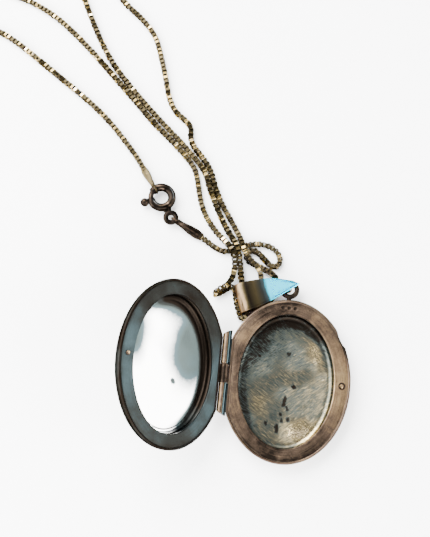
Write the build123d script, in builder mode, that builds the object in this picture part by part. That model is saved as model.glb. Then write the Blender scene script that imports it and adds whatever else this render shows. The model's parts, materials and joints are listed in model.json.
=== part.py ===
"""Oval hinged locket on a fine box chain: two shells, rims and bowls, a three-knuckle
hinge, a pin catch, a folded bail and a spring ring clasp.

Millimetres. The origin is the centre of the back half's outer flat, +Z up into the open
half, +Y along the oval towards the bail, +X towards the catch, so the hinge is at -X.
"""

import math
import os

from build123d import *

# Oval halves
half_width = 12.5  # semi-axis across
half_length = 16.0  # semi-axis along
half_depth = 3.4  # outer flat to the parting plane
face_gap = 0.04  # each half's face stands this far short of the parting plane
wall = 0.5
dome_radius = 3.0  # rounding of the outer edge
hinge_wall_x = -11.2  # flat that carries the hinge
opening_width = 9.3  # semi-axes of the opening in the rim
opening_length = 13.05
rim_thickness = 0.5
bowl_wall = 0.35
bowl_rounding = 1.6

# Hinge
hinge_x = -12.15
open_above_flat = 38.0  # degrees that the open lid stands above flat
knuckle_radius = 0.8
pin_radius = 0.35
pin_set_back = 0.45  # each end of the pin stops this far inside the barrel
leaf_centre, leaf_thickness = 0.48, 0.64  # leaf that ties a knuckle to its wall
running_gap = 0.05
knuckle_gap = 0.1
middle_low, middle_high = -1.6, 2.0
barrel_low, barrel_high = -7.9, 8.7
end_slant = 28.0

# Catch and thumb notch
catch_x = 10.8
nub_radius = 0.4
nub_height = 0.42
notch_radius = 3.0
notch_depth = 0.38
notch_angle = 35.0

# Ring on the back half, and the bail folded through it
ring_centre = (-0.6, 18.3, 2.2)
ring_radius = 1.45
ring_wire = 0.4
peg_radius = 0.45
bail_turn = 19.1  # degrees that the bail's long axis is off the X axis
bail_fold = (-10.45, 15.4)  # middle of the fold, seen from above
bail_sheet = 0.4
fold_radius = 1.85
fold_z = fold_radius + 0.05  # height of the fold's axis
close_s = 10.35  # where the strip goes through the ring, along its length
leaf_tip = 11.95  # end of the leaf's outline
tongue_height = 2.96  # the strip is a tongue from the rear leaf up to here
tongue_width = 1.1
tongue_t = -0.48  # the ring's centre is this far off the bail's long axis

# Chain and its end tags
chain_radius = 0.5
tag_thickness = 0.4
tag_loop_wire = 0.2

# Spring ring clasp
clasp_centre = (-28.0, 35.0, 1.15)
clasp_radius = 2.15
tube_radius = 0.6
tube_bore = 0.42
bolt_radius = 0.36
gap_start, gap_end = 150.0, 196.0  # opening of the ring, closed by the bolt
thumb_angle = 204.0
thumb_travel = 45.0
eye_angle = 300.0
tag_angle = 132.0  # where the first end tag hangs on the ring
eye_reach = 4.7
eye_radius = 0.92
eye_wire = 0.22
neck_radius = 0.32
neck_start = clasp_radius + tube_radius - 0.07
thumb_reach = 3.55
thumb_ball = 0.62
stem_radius = 0.18

os.makedirs("parts", exist_ok=True)


def save(builder, name):
    builder.part.label = name
    export_step(builder.part, f"parts/{name}.step")


# The two halves share their shape. Each is drawn in its own plane: x away from the hinge,
# z into the half, the hinge axis at x = hinge_x and z = half_depth.
lid_rise = math.radians(open_above_flat)
lid_x = Vector(-math.cos(lid_rise), 0, math.sin(lid_rise))
lid_z = Vector(math.sin(lid_rise), 0, math.cos(lid_rise))
hinge_point = Vector(hinge_x, 0, half_depth)
back_plane = Plane.XY
lid_plane = Plane(
    origin=hinge_point - lid_x * hinge_x - lid_z * half_depth, x_dir=lid_x, z_dir=lid_z
)
face_level = half_depth - face_gap


def hinge_side(plane, x):
    """Everything on the hinge side of x, to be taken away."""
    with BuildPart() as block:
        with BuildSketch(plane.offset(-1)):
            with Locations((x - 10, 0)):
                Rectangle(20, 60)
        extrude(amount=half_depth + 3)
    return block.part


def pan(plane, semi_x, semi_y, low, high, rounding, cut_x):
    """An oval block with a rounded lower edge, flat on the hinge side."""
    beyond = hinge_side(plane, cut_x)
    with BuildPart() as block:
        with BuildSketch(plane.offset(low)):
            Ellipse(semi_x, semi_y)
        extrude(amount=high - low)
        floor = block.faces().sort_by(Axis(plane.origin, plane.z_dir))[0]
        fillet(floor.edges(), radius=rounding)
        add(beyond, mode=Mode.SUBTRACT)
    return block.part


def shell(plane, notched):
    outer = pan(plane, half_width, half_length, 0, face_level, dome_radius, hinge_wall_x)
    inner = pan(
        plane, half_width - wall, half_length - wall, wall, half_depth + 1,
        dome_radius - wall, hinge_wall_x + wall,
    )
    with BuildPart() as piece:
        add(outer)
        add(inner, mode=Mode.SUBTRACT)
        if notched:
            angle = math.radians(notch_angle)
            spot = (half_width * math.cos(angle), half_length * math.sin(angle))
            out = Vector(spot[0] / half_width**2, spot[1] / half_length**2).normalized()
            middle = Vector(*spot) + out * (notch_radius - notch_depth)
            with BuildSketch(plane.offset(half_depth - 1.0)):
                with Locations((middle.X, middle.Y)):
                    Circle(notch_radius)
            extrude(amount=2, mode=Mode.SUBTRACT)
    return piece


def rim(plane, hole):
    beyond = hinge_side(plane, hinge_wall_x + wall + 0.02)
    with BuildPart() as piece:
        with BuildSketch(plane.offset(face_level - rim_thickness)):
            Ellipse(half_width - wall - 0.02, half_length - wall - 0.02)
            Ellipse(opening_width, opening_length, mode=Mode.SUBTRACT)
            if hole:
                with Locations((catch_x, 0)):
                    Circle(nub_radius + 0.1, mode=Mode.SUBTRACT)
        extrude(amount=rim_thickness)
        add(beyond, mode=Mode.SUBTRACT)
    return piece


def bowl(plane):
    low = wall + 0.02
    high = face_level - rim_thickness - 0.01
    outer = pan(
        plane, opening_width + bowl_wall, opening_length + bowl_wall, low, high,
        bowl_rounding + bowl_wall, -half_width,
    )
    inner = pan(
        plane, opening_width, opening_length, low + bowl_wall, half_depth, bowl_rounding, -half_width
    )
    with BuildPart() as piece:
        add(outer)
        add(inner, mode=Mode.SUBTRACT)
    return piece


back_shell = shell(back_plane, notched=True)
save(back_shell, "back_shell")
lid_shell = shell(lid_plane, notched=False)
save(lid_shell, "lid_shell")
back_rim = rim(back_plane, hole=True)
save(back_rim, "back_rim")
lid_rim = rim(lid_plane, hole=False)
save(lid_rim, "lid_rim")
back_bowl = bowl(back_plane)
save(back_bowl, "back_bowl")
lid_bowl = bowl(lid_plane)
save(lid_bowl, "lid_bowl")

with BuildPart() as catch_nub:
    with BuildSketch(lid_plane.offset(face_level)):
        with Locations((catch_x, 0)):
            Circle(nub_radius)
    extrude(amount=nub_height)
    top = catch_nub.faces().sort_by(Axis(lid_plane.origin, lid_plane.z_dir))[-1]
    fillet(top.edges(), radius=0.25)
save(catch_nub, "catch_nub")


def knuckle(plane, low, high, bore, slant_low, slant_high):
    """A hinge tube from low to high along the axis, with the leaf that ties it to the wall."""
    along = Plane(
        origin=plane.from_local_coords(Vector(hinge_x, low, half_depth)),
        x_dir=plane.x_dir,
        z_dir=plane.y_dir,
    )
    with BuildPart() as piece:
        with BuildSketch(along):
            Circle(knuckle_radius)
            with Locations(((hinge_wall_x - hinge_x) / 2, leaf_centre)):
                Rectangle(hinge_wall_x - hinge_x, leaf_thickness)
            Circle(bore, mode=Mode.SUBTRACT)
        extrude(amount=high - low)
        for end, sign, slanted in ((high, 1, slant_high), (low, -1, slant_low)):
            if slanted:
                lean = math.radians(end_slant)
                normal = plane.y_dir * sign * math.cos(lean) - plane.x_dir * math.sin(lean)
                corner = plane.from_local_coords(Vector(hinge_wall_x - 0.2, end, half_depth))
                split(bisect_by=Plane(origin=corner, z_dir=normal), keep=Keep.BOTTOM)
    return piece


upper = knuckle(back_plane, middle_high + knuckle_gap, barrel_high, pin_radius, False, True)
save(upper, "hinge_knuckle_upper")
lower = knuckle(back_plane, barrel_low, middle_low - knuckle_gap, pin_radius, True, False)
save(lower, "hinge_knuckle_lower")
# The lid's plane has its y axis the other way round, so its knuckle is given reversed.
middle = knuckle(lid_plane, -middle_high, -middle_low, pin_radius + running_gap, False, False)
save(middle, "hinge_knuckle_middle")

with BuildPart() as hinge_pin:
    with BuildSketch(Plane(origin=(hinge_x, barrel_low + pin_set_back, half_depth), z_dir=(0, 1, 0))):
        Circle(pin_radius)
    extrude(amount=barrel_high - barrel_low - 2 * pin_set_back)
save(hinge_pin, "hinge_pin")


def torus(centre, normal, major, minor):
    """A closed wire ring."""
    axis_plane = Plane(origin=centre, z_dir=normal)
    section = Plane(origin=centre, x_dir=axis_plane.x_dir, z_dir=axis_plane.y_dir)
    with BuildPart() as piece:
        with BuildSketch(section):
            with Locations((major, 0)):
                Circle(minor)
        revolve(axis=Axis(centre, normal))
    return piece


bail_ring = torus(ring_centre, (0, 0, 1), ring_radius, ring_wire)
save(bail_ring, "bail_ring")

with BuildPart() as ring_peg:
    base = Plane(origin=(ring_centre[0], half_length - 0.08, ring_centre[2]), z_dir=(0, 1, 0))
    with BuildSketch(base):
        Circle(peg_radius)
    extrude(amount=ring_centre[1] - ring_radius - ring_wire * 0.2 - half_length)
    add(bail_ring.part, mode=Mode.SUBTRACT)
    add(back_shell.part, mode=Mode.SUBTRACT)
save(ring_peg, "bail_ring_peg")

# Bail: one strip, folded round the chain at the left and closed inside the ring. Its side
# profile is drawn along its length, its outline from above.
turn = math.radians(bail_turn)
bail_along = Vector(math.cos(turn), math.sin(turn), 0)
side = Plane(
    origin=(bail_fold[0], bail_fold[1], 0),
    x_dir=bail_along,
    z_dir=bail_along.cross(Vector(0, 0, 1)),
)
above = Plane(origin=(bail_fold[0], bail_fold[1], 0), x_dir=bail_along, z_dir=(0, 0, 1))
with BuildPart() as bail:
    with BuildSketch(side):
        with BuildLine():
            front = Line((fold_radius, fold_z + fold_radius), (11.9, 3.35))
            tip = Line(front @ 1, (11.85, 3.0))
            under = Line(tip @ 1, (close_s + 0.25, 2.97))
            down = Line(under @ 1, (close_s + 0.25, 1.15))
            rear = Line(down @ 1, (fold_radius, fold_z - fold_radius))
            ThreePointArc(rear @ 1, (0, fold_z), front @ 0)
        make_face()
        with BuildLine():
            front = Line((fold_radius, fold_z + fold_radius - bail_sheet), (close_s - 0.2, 3.0))
            down = Line(front @ 1, (close_s - 0.2, 1.5))
            rear = Line(down @ 1, (fold_radius, fold_z - fold_radius + bail_sheet))
            ThreePointArc(rear @ 1, (bail_sheet, fold_z), front @ 0)
        make_face(mode=Mode.SUBTRACT)
    extrude(amount=5, both=True)
    with BuildSketch(above):
        with BuildLine():
            start = (-0.1, 2.9)
            end = (-0.1, -3.05)
            Spline(start, (3.2, 2.6), (6.2, 2.15), (9.0, 1.1), (leaf_tip, 0.02))
            Line((leaf_tip, 0.02), (leaf_tip, -0.02))
            Spline((leaf_tip, -0.02), (9.0, -1.2), (5.4, -2.2), (2.6, -2.75), end)
            Line(end, start)
        make_face()
    extrude(amount=6, mode=Mode.INTERSECT)
    # Below the front leaf, the part inside the ring is only a narrow tongue.
    with BuildSketch(above):
        aside = tongue_width / 2 + 2.5
        with Locations((10.2, tongue_t + aside), (10.2, tongue_t - aside)):
            Rectangle(5.4, 5)
    extrude(amount=tongue_height, mode=Mode.SUBTRACT)
save(bail, "bail")


# Chain: two tubes that meet inside the bail's fold.
def tube_along(points, name):
    """A round tube on straight runs joined by arcs, each as large as its runs allow."""
    corners = [Vector(*p) for p in points]
    runs = [b - a for a, b in zip(corners, corners[1:])]
    radii = []
    for before, after in zip(runs, runs[1:]):
        half_turn = math.radians(before.get_angle(after)) / 2
        radii.append(0.45 * min(before.length, after.length) / math.tan(half_turn))
    with BuildPart() as piece:
        with BuildLine() as route:
            FilletPolyline(*points, radius=radii)
        with BuildSketch(Plane(origin=route.line @ 0, z_dir=route.line % 0)):
            Circle(chain_radius)
        sweep()
    length = sum(edge.length for edge in route.edges())
    expected = math.pi * chain_radius**2 * length
    print(f"{name}: length {length:.1f}, volume {piece.part.volume:.1f}", end=", ")
    print(f"section x length {expected:.1f}")
    print("  radii", " ".join(f"{r:.1f}" for r in radii))
    print("  runs", " ".join(f"{r.length:.1f}" for r in runs))
    return piece


low = 0.55  # centre height of a strand on the table
chain_to_ring = [
    (-9.1, 15.4, 1.3), (-8.35, 13.4, 1.3), (-8.1, 12.0, 1.0), (-9.4, 10.95, 0.65),
    (-11.4, 10.7, low), (-13.4, 11.3, low), (-15.0, 12.8, low), (-15.5, 14.9, low),
    (-14.3, 16.8, low), (-12.9, 18.7, low), (-12.0, 20.7, low), (-11.8, 22.6, 0.9),
    (-12.2, 24.3, 1.7), (-12.9, 25.8, 1.7), (-14.2, 27.2, 0.9), (-16.2, 29.0, low),
    (-18.0, 31.2, low), (-19.4, 33.6, low), (-20.3, 36.4, low), (-21.0, 39.4, low),
    (-21.8, 42.1, low), (-23.8, 44.4, low), (-27.4, 47.8, low), (-31.6, 51.3, low),
    (-35.4, 55.3, low), (-39.6, 59.4, low), (-44.2, 64.0, low), (-49.4, 68.8, low),
    (-54.6, 72.9, low), (-60.2, 75.7, low), (-66.0, 77.2, low), (-71.5, 78.6, low),
    (-77.0, 77.8, low), (-80.9, 74.2, low), (-80.3, 69.4, low), (-75.8, 67.6, low),
    (-70.6, 68.9, low), (-65.6, 68.0, low), (-60.4, 65.0, low), (-55.0, 61.2, low),
    (-49.8, 57.6, low), (-44.8, 54.1, low), (-40.4, 50.4, low), (-36.4, 46.1, low),
    (-33.4, 42.6, low), (-32.2, 40.7, 0.65),
]
chain_to_eye = [
    (-9.1, 15.4, 1.3), (-9.8, 17.4, 1.3), (-10.3, 19.5, 1.2), (-10.6, 21.6, 0.8),
    (-10.9, 23.3, 0.9), (-11.3, 24.9, 1.7), (-11.9, 26.5, 1.7), (-13.0, 28.2, 0.9),
    (-14.4, 30.3, low), (-15.9, 32.9, low), (-17.2, 35.6, low), (-18.6, 38.5, low),
    (-19.5, 41.4, low), (-21.5, 43.8, low), (-24.9, 47.2, low), (-28.8, 50.7, low),
    (-33.0, 54.6, low), (-37.2, 58.8, low), (-41.2, 63.2, low), (-44.4, 68.2, low),
    (-47.0, 73.2, low), (-49.3, 78.0, low), (-51.6, 83.0, low), (-52.9, 88.4, low),
    (-51.2, 93.4, low), (-46.6, 95.2, low), (-43.0, 92.2, low), (-43.6, 86.8, low),
    (-43.6, 81.6, low), (-40.4, 77.6, low), (-36.2, 74.4, low), (-33.0, 70.8, low),
    (-31.4, 66.2, low), (-29.9, 61.4, low), (-28.9, 57.2, low), (-27.2, 54.1, low),
    (-24.8, 52.3, low), (-23.7, 49.9, low), (-22.6, 47.2, low), (-20.6, 44.8, low),
    (-18.6, 42.3, low), (-17.5, 39.0, low), (-16.0, 35.7, low), (-14.1, 32.8, low),
    (-12.4, 30.2, low), (-11.3, 28.3, 0.9), (-10.7, 26.7, 1.7), (-10.0, 25.1, 1.75),
    (-8.9, 23.7, 1.65), (-7.5, 22.6, 1.65), (-6.6, 21.3, 1.75),
    (-6.4, 19.6, 1.85), (-5.96, 18.54, 1.85), (-4.9, 18.1, 1.85), (-3.84, 18.54, 1.85),
    (-3.4, 19.6, 1.85), (-3.6, 20.8, 1.6), (-4.5, 21.6, 1.1), (-5.7, 22.2, 0.75),
    (-6.9, 22.8, low), (-8.4, 23.4, low), (-9.35, 23.8, low), (-9.75, 24.75, low),
    (-9.35, 25.75, low), (-8.4, 26.1, low), (-7.3, 25.6, low), (-6.2, 24.6, low),
    (-5.0, 23.4, low), (-4.0, 22.95, low), (-3.1, 23.4, low), (-2.75, 24.5, low),
    (-3.1, 25.7, low), (-4.1, 26.7, low), (-5.4, 27.3, low), (-7.2, 27.5, low),
    (-9.1, 27.2, low), (-11.0, 26.4, low), (-12.8, 25.4, low), (-14.6, 25.1, low),
    (-16.6, 26.0, low), (-18.2, 27.1, 0.6), (-19.3, 27.75, 0.65),
]
save(tube_along(chain_to_ring, "chain_to_ring"), "chain_to_ring")
save(tube_along(chain_to_eye, "chain_to_eye"), "chain_to_eye")

# Spring ring clasp, lying flat
clasp_axis = Axis(clasp_centre, (0, 0, 1))


def on_clasp(angle):
    """The level direction from the clasp's centre at this angle."""
    return Vector(math.cos(math.radians(angle)), math.sin(math.radians(angle)), 0)


def radial_plane(angle):
    """The upright plane through the clasp's axis at this angle, x outwards, y up."""
    return Plane(origin=clasp_centre, x_dir=on_clasp(angle), z_dir=on_clasp(angle - 90))


def arc_wire(start, end, radius, bore=0.0):
    """A round wire, or a tube with a bore, bent round the clasp from start to end degrees."""
    with BuildPart() as piece:
        with BuildSketch(radial_plane(start)):
            with Locations((clasp_radius, 0)):
                Circle(radius)
                if bore:
                    Circle(bore, mode=Mode.SUBTRACT)
        revolve(axis=clasp_axis, revolution_arc=end - start)
    return piece


clasp_tube = arc_wire(gap_end, gap_start + 360, tube_radius, tube_bore)
with BuildPart() as clasp_ring:
    add(clasp_tube.part)
    with BuildSketch(radial_plane(thumb_angle - 5)):
        with Locations((clasp_radius + 0.55, 0)):
            Rectangle(0.7, 0.5)
    revolve(axis=clasp_axis, revolution_arc=thumb_travel + 10, mode=Mode.SUBTRACT)
save(clasp_ring, "clasp_ring")

clasp_bolt = arc_wire(gap_start - 8, thumb_angle + 8, bolt_radius)
save(clasp_bolt, "clasp_bolt")
clasp_spring = arc_wire(thumb_angle + 8.5, 330, bolt_radius - 0.04, 0.2)
save(clasp_spring, "clasp_spring")

thumb_way = on_clasp(thumb_angle)
with BuildPart() as clasp_thumb:
    stem = Plane(origin=Vector(*clasp_centre) + thumb_way * (clasp_radius + 0.3), z_dir=thumb_way)
    with BuildSketch(stem):
        Circle(stem_radius)
    extrude(amount=0.9)
    with Locations(Vector(*clasp_centre) + thumb_way * thumb_reach):
        Sphere(thumb_ball)
    add(clasp_bolt.part, mode=Mode.SUBTRACT)
save(clasp_thumb, "clasp_thumb")

eye_way = on_clasp(eye_angle)
eye_centre = Vector(*clasp_centre) + eye_way * eye_reach
clasp_eye = torus(tuple(eye_centre), (0, 0, 1), eye_radius, eye_wire)
with BuildPart() as clasp_eye_piece:
    add(clasp_eye.part)
    with BuildSketch(Plane(origin=Vector(*clasp_centre) + eye_way * neck_start, z_dir=eye_way)):
        Circle(neck_radius)
    extrude(amount=eye_reach - neck_start - eye_radius + 0.07)
    add(clasp_tube.part, mode=Mode.SUBTRACT)
save(clasp_eye_piece, "clasp_eye")


# End tags: a small loop round the clasp or its eye, and a flat tapered tongue to the chain.
def end_tag(hold, chain_end, loop_radius, neck, name):
    hold, chain_end = Vector(*hold), Vector(*chain_end)
    run = chain_end - hold
    way = run.normalized()
    across = Vector(0, 0, 1).cross(way).normalized()
    loop = torus(tuple(hold), tuple(across), loop_radius, tag_loop_wire)
    flat = Plane(origin=hold, x_dir=way, z_dir=way.cross(across))
    with BuildPart() as piece:
        add(loop.part)
        with BuildSketch(flat.offset(-tag_thickness / 2)):
            with BuildLine():
                Polyline(
                    (loop_radius, 0.35), (loop_radius + neck, 0.4), (run.length - 1.9, 0.85),
                    (run.length - 0.3, 0.85), (run.length, 0.6), (run.length, -0.6),
                    (run.length - 0.3, -0.85), (run.length - 1.9, -0.85),
                    (loop_radius + neck, -0.4), (loop_radius, -0.35), close=True,
                )
            make_face()
        extrude(amount=tag_thickness)
    save(piece, name)


tag_hold = Vector(*clasp_centre) + on_clasp(tag_angle) * clasp_radius
end_tag(tag_hold, chain_to_ring[-1], 0.9, 0.3, "end_tag_ring")
eye_hold = eye_centre + Vector(0.888, -0.46, 0) * eye_radius
end_tag(eye_hold, chain_to_eye[-1], 0.6, 1.2, "end_tag_eye")
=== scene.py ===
"""Oval hinged locket lying open on a fine box chain with a spring ring clasp, for Blender 4.5.

Metres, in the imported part's own frame: the origin is the centre of the back half's outer
flat, +Z up into the open half, +Y along the oval towards the bail, +X towards the catch.
"""

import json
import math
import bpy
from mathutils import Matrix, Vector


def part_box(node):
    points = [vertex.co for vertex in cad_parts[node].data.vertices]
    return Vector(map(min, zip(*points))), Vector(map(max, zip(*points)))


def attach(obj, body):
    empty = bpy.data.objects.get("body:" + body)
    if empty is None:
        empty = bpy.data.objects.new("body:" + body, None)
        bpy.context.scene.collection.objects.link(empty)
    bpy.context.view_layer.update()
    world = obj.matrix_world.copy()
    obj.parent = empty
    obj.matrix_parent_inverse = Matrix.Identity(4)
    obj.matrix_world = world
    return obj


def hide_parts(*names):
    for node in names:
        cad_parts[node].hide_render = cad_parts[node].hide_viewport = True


bl_info = {
    "name": "Oval locket",
    "version": (1, 0, 0),
    "blender": (4, 5, 0),
    "location": "View3D > Sidebar > Locket",
    "description": "Builds the visible surfaces of an oval locket, its chain and its clasp",
    "category": "Add Mesh",
}

import bmesh
import bpy
import numpy as np
from mathutils import Matrix, Vector

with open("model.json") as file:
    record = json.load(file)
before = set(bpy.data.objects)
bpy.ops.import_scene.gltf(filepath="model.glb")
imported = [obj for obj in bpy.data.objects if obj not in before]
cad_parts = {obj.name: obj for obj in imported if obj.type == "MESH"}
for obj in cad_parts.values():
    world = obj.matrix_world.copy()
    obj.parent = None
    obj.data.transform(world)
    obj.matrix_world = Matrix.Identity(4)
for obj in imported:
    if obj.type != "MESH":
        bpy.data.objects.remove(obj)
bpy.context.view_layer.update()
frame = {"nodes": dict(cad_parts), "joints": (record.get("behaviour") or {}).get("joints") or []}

MM = 0.001
TAU = 2 * math.pi

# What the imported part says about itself
joints = {joint["name"]: joint for joint in frame["joints"]}
shell_low, shell_high = (np.array(corner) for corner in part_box("back_shell"))
hinge_at = np.array(joints["lid_hinge"]["pos_m"])
lid_rise = math.radians(180 - joints["lid_hinge"]["range_deg"][1])
ring_at = np.array(joints["bail_swing"]["pos_m"])
clasp_at = np.array(joints["clasp_trigger"]["pos_m"])
half_width = shell_high[0]
half_length = shell_high[1]
face_z = shell_high[2]
hinge_wall_x = shell_low[0]


# ---------------------------------------------------------------- sizes and colours


def length_property(name, description, default, precision=5):
    """A length in metres."""
    return bpy.props.FloatProperty(
        name=name, description=description, default=default, unit="LENGTH", precision=precision
    )


class LocketSizes(bpy.types.PropertyGroup):
    """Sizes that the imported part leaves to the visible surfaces."""

    wall: length_property("Shell wall", "Thickness of the outer shells", 0.5 * MM)
    dome_radius: length_property("Dome radius", "Rounding of the shells' outer edge", 3.0 * MM)
    opening_width: length_property("Opening half width", "Rim's opening across the oval", 9.3 * MM)
    opening_length: length_property("Opening half length", "Rim's opening along the oval", 13.05 * MM)
    rim_thickness: length_property("Rim thickness", "Thickness of the flat rim frames", 0.5 * MM)
    bowl_rounding: length_property("Bowl rounding", "Radius where a bowl's floor turns up", 1.0 * MM)
    bail_sheet: length_property("Bail sheet", "Thickness of the strip the bail is folded from", 0.4 * MM)
    chain_width: length_property("Chain width", "Outside width of a box link", 1.15 * MM)
    link_pitch: length_property("Link pitch", "Distance from one box link to the next", 0.46 * MM)
    chain_to_ring_length: length_property("Chain to ring", "From the bail to the clasp's ring", 0.178, 4)
    chain_to_eye_length: length_property("Chain to eye", "From the bail to the clasp's eye", 0.222, 4)


def colour_property(name, description, default):
    """A linear colour with no alpha."""
    return bpy.props.FloatVectorProperty(
        name=name, description=description, default=default, subtype="COLOR", size=3, min=0, max=1
    )


class LocketColours(bpy.types.PropertyGroup):
    """Linear colours of the silver and of what has tarnished on it."""

    bright: colour_property("Bright silver", "Clean polished silver", (0.93, 0.92, 0.89))
    cream: colour_property("Cream tarnish", "First warm film on silver", (0.74, 0.60, 0.37))
    gold: colour_property("Gold tarnish", "Yellow stage of the film", (0.48, 0.33, 0.165))
    copper: colour_property("Copper tarnish", "Brown stage of the film", (0.20, 0.132, 0.072))
    umber: colour_property("Umber tarnish", "Dark brown stage of the film", (0.058, 0.040, 0.028))
    # Straw also colours the painted highlights in the back bowl.
    straw: colour_property("Straw film", "Pale yellow of rubbed silver in the back bowl", (0.34, 0.265, 0.13))
    brass: colour_property("Brass tone", "Deep yellow of the chain's links", (0.27, 0.19, 0.065))
    bronze: colour_property("Bronze tone", "Brown of the chain's links", (0.036, 0.028, 0.014))
    sage: colour_property("Sage film", "Green grey film in the back bowl", (0.085, 0.080, 0.057))
    teal: colour_property("Teal film", "Dark blue green film in the bowls", (0.035, 0.046, 0.044))
    slate: colour_property("Slate tarnish", "Dark grey of the lid's rim", (0.018, 0.0195, 0.018))
    steel: colour_property("Steel tarnish", "Blue grey stage of the film", (0.034, 0.051, 0.055))
    # Blue film also serves as the painted cyan reflection towards the tip of the bail's leaf.
    sky: colour_property("Blue film", "Cyan interference film", (0.0, 0.66, 0.95))
    soot: colour_property("Dark tarnish", "Nearly black tarnish in spots and corners", (0.008, 0.006, 0.0045))
    floor: colour_property("Floor", "The pale table top", (0.97, 0.97, 0.97))


# ---------------------------------------------------------------- mesh from surfaces


def stand(name, data):
    """An object at the origin with this data."""
    made = bpy.data.objects.new(name, data)
    bpy.context.scene.collection.objects.link(made)
    return made


def vertex_rows(mesh, what="co"):
    """A mesh's points, or their normals, one to a row."""
    flat = np.empty(len(mesh.vertices) * 3, np.float32)
    mesh.vertices.foreach_get(what, flat)
    return flat.reshape(-1, 3)


def face_outwards(mesh, weld=0.0):
    """Merges the points that are closer than weld and turns every face outwards."""
    solid = bmesh.new()
    solid.from_mesh(mesh)
    if weld:
        bmesh.ops.remove_doubles(solid, verts=solid.verts, dist=weld)
    bmesh.ops.recalc_face_normals(solid, faces=solid.faces)
    solid.to_mesh(mesh)
    solid.free()


def grid_faces(rows, cols, close_rows=False):
    """Quads between neighbouring points of a tube stored ring by ring, and the unwrapped row
    and column numbers of each quad's corners for its UV map."""
    r = np.arange(rows if close_rows else rows - 1)
    r0, c0 = (a.ravel() for a in np.meshgrid(r, np.arange(cols), indexing="ij"))
    row = np.stack([r0, r0 + 1, r0 + 1, r0], -1)
    col = np.stack([c0, c0, c0 + 1, c0 + 1], -1)
    return (row % rows) * cols + col % cols, row, col


def make_mesh(name, points, faces, u, v):
    """A smooth piece from points, faces and the UV values of each face's corners."""
    mesh = bpy.data.meshes.new(name)
    mesh.from_pydata(points.reshape(-1, 3).tolist(), [], faces.tolist())
    uv = np.stack([u, v], -1).astype(np.float32)
    mesh.uv_layers.new(name="along").data.foreach_set("uv", uv.ravel())
    face_outwards(mesh, weld=1e-7)
    mesh.polygons.foreach_set("use_smooth", [True] * len(mesh.polygons))
    mesh.validate()
    return stand(name, mesh)


def finish_piece(piece, body, material, replaced):
    """Gives a piece its finish and its body, and hides the CAD nodes that it stands for."""
    piece.data.materials.clear()
    piece.data.materials.append(material)
    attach(piece, body)
    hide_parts(*replaced)


def ellipse_rows(semi_x, semi_y, z, cut, count):
    """Rows of an oval flattened on the hinge side: x = max(a cos t, cut), y = b sin t."""
    t = np.linspace(0, TAU, count, endpoint=False)
    x = np.maximum(semi_x[:, None] * np.cos(t), cut[:, None])
    y = semi_y[:, None] * np.sin(t)
    return np.stack([x, y, np.broadcast_to(z[:, None], x.shape)], -1)


def surface_from_rows(name, rows, close_rows, body):
    """A closed surface from rows of points round the oval, with a UV map in metres: u is the
    way round, v the way along the profile. Rows at the ends that shrink to a point close it."""
    count, cols = rows.shape[:2]
    faces, row, col = grid_faces(count, cols, close_rows)
    across = np.linalg.norm(np.diff(rows[:, 0], axis=0, append=rows[:1, 0]), axis=-1)
    v = np.concatenate([[0], np.cumsum(across)])
    round_length = TAU * math.sqrt((half_width**2 + half_length**2) / 2)
    place = PLACES[body]
    points = rows.reshape(-1, 3) @ place[:3, :3].T + place[:3, 3]
    return make_mesh(name, points, faces, col / cols * round_length, v[row])


def close_poles(rows):
    """The first and last rows drawn in to a single point each."""
    closed = rows.copy()
    closed[0] = rows[0].mean(0)
    closed[-1] = rows[-1].mean(0)
    return closed


def arc(centre_u, centre_v, radius, start, end, steps):
    """Points of a circle in the profile plane, angles in degrees."""
    a = np.radians(np.linspace(start, end, steps))
    return np.stack([centre_u + radius * np.cos(a), centre_v + radius * np.sin(a)], -1)


# The back half stands in the part's frame. The lid is the same shape, hinged open: its own
# x points away from the hinge and its own z into it, so y runs the other way.
back_place = np.eye(4)
lid_place = np.eye(4)
lid_place[:3, 0] = (-math.cos(lid_rise), 0, math.sin(lid_rise))
lid_place[:3, 1] = (0, -1, 0)
lid_place[:3, 2] = (math.sin(lid_rise), 0, math.cos(lid_rise))
lid_place[:3, 3] = hinge_at - lid_place[:3, :3] @ hinge_at


PLACES = {"back": back_place, "lid": lid_place}


def local_points(piece, body="back"):
    """A piece's points in the plane of its half."""
    place = PLACES[body]
    return (vertex_rows(piece.data) - place[:3, 3]) @ place[:3, :3]


# ---------------------------------------------------------------- tone


def smooth_step(x, low, high):
    """0 below low, 1 above high, and a smooth rise between."""
    t = np.clip((x - low) / (high - low), 0, 1)
    return t * t * (3 - 2 * t)


def bell(x, width):
    """A bell of height 1 at x = 0: e to the power of minus (x / width) squared."""
    return np.exp(-((x / width) ** 2))


def patch(points, x, y, wide, long):
    """An oval bell of height 1 at (x, y), with its widths across and along the locket."""
    return np.exp(-(((points[:, 0] - x) / wide) ** 2) - ((points[:, 1] - y) / long) ** 2)


def hand_wear(points, size, seed):
    """Slow uneven waves, between -1 and 1, as the sum of a few sine waves over x and y."""
    x, y = points[..., 0] / size, points[..., 1] / size
    waves = np.sin(1.9 * x + 0.7 * y + seed) + np.sin(-0.8 * x + 2.3 * y + 2.1 * seed)
    return (waves + np.sin(3.1 * x + 3.7 * y + 0.6 * seed)) / 3


def painted_highlight_arc(points, radius, angle, spread_angle):
    """A painted highlight round the clasp: a bell across its radius and a bell round its angle."""
    x, y = points[:, 0] - clasp_at[0], points[:, 1] - clasp_at[1]
    turn = np.abs((np.degrees(np.arctan2(y, x)) - angle + 180) % 360 - 180)
    return np.exp(-(((np.hypot(x, y) - radius) / (0.2 * MM)) ** 2) - (turn / spread_angle) ** 2)


def set_tone(piece, values):
    """Stores the film's place on its ramp at every point, or one value for all of them: 0 is
    the heaviest tarnish."""
    store = piece.data.attributes.new("tone", "FLOAT", "POINT")
    tone = np.broadcast_to(np.asarray(values, np.float32).ravel(), len(piece.data.vertices))
    store.data.foreach_set("value", tone.copy())


# ---------------------------------------------------------------- finishes

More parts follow.
